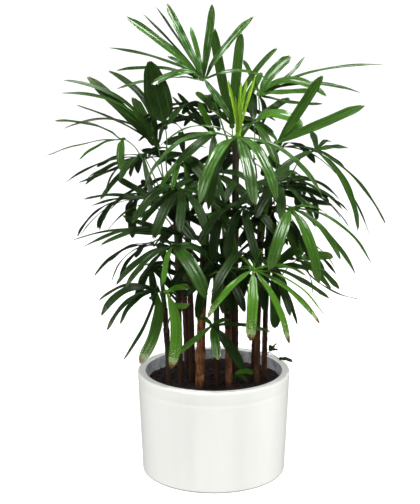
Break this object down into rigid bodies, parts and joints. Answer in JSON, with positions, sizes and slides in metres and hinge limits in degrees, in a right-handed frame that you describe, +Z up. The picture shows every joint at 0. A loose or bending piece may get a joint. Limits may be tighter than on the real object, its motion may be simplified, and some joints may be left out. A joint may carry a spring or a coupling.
{
  "type": "potted palm",
  "caption": "Potted lady palm: a clump of slender fibrous canes with fans of strap leaflets, in a round white planter.",
  "frame": {"origin": "centre of the pot's flat base, at floor level", "axes": "+Z up along the pot's axis, -Y towards the picture's viewer, +X to the viewer's right"},
  "size_m": [0.7639, 0.7525, 1.0904],
  "materials": {
    "pot": "satin white",
    "soil": "matte dark potting soil",
    "cane": "fibrous matte",
    "leaf": "waxy leaf, semi-gloss",
    "young_leaf": "waxy young leaf, semi-gloss"
  },
  "bodies": {
    "root": {"pot": "pot", "soil": "soil", "cane_front_left": "cane", "cane_front_right": "cane", "cane_right_inner": "cane", "cane_right_outer": "cane", "cane_left_outer": "cane", "cane_left_inner": "cane", "cane_thin": "cane", "cane_left_middle": "cane", "cane_tall": "cane", "cane_back_middle": "cane", "cane_back_left": "cane", "cane_back_right": "cane", "frond_crown": "leaf", "frond_upright": "leaf", "frond_young": "young_leaf", "frond_centre": "leaf", "leaf_broad": "leaf", "frond_left_high": "leaf", "frond_left_arch": "leaf", "frond_left_mid": "leaf", "frond_left_dark": "leaf", "frond_left_strap": "leaf", "frond_left_low": "leaf", "frond_left_foot": "leaf", "frond_front_bright": "leaf", "frond_front_low": "leaf", "frond_right_low": "leaf", "frond_right_mid": "leaf", "frond_right_high": "leaf", "frond_right_strap": "leaf", "frond_back_high": "leaf", "frond_back_fan": "leaf", "frond_core_high": "leaf", "frond_core_left": "leaf", "frond_right_dark": "leaf", "frond_right_foot": "leaf", "frond_centre_dark": "leaf", "frond_core_low": "leaf", "frond_right_core": "leaf", "frond_left_core": "leaf", "frond_fill_01": "leaf", "frond_fill_02": "leaf", "frond_fill_03": "leaf", "frond_fill_04": "leaf", "frond_fill_05": "leaf", "frond_fill_06": "leaf", "frond_fill_07": "leaf", "frond_fill_08": "leaf", "frond_fill_09": "leaf", "frond_fill_10": "leaf", "frond_fill_11": "leaf", "frond_fill_12": "leaf", "frond_fill_13": "leaf", "frond_fill_14": "leaf", "frond_fill_15": "leaf", "frond_fill_16": "leaf", "frond_fill_17": "leaf", "frond_fill_18": "leaf"}
  },
  "joints": []
}
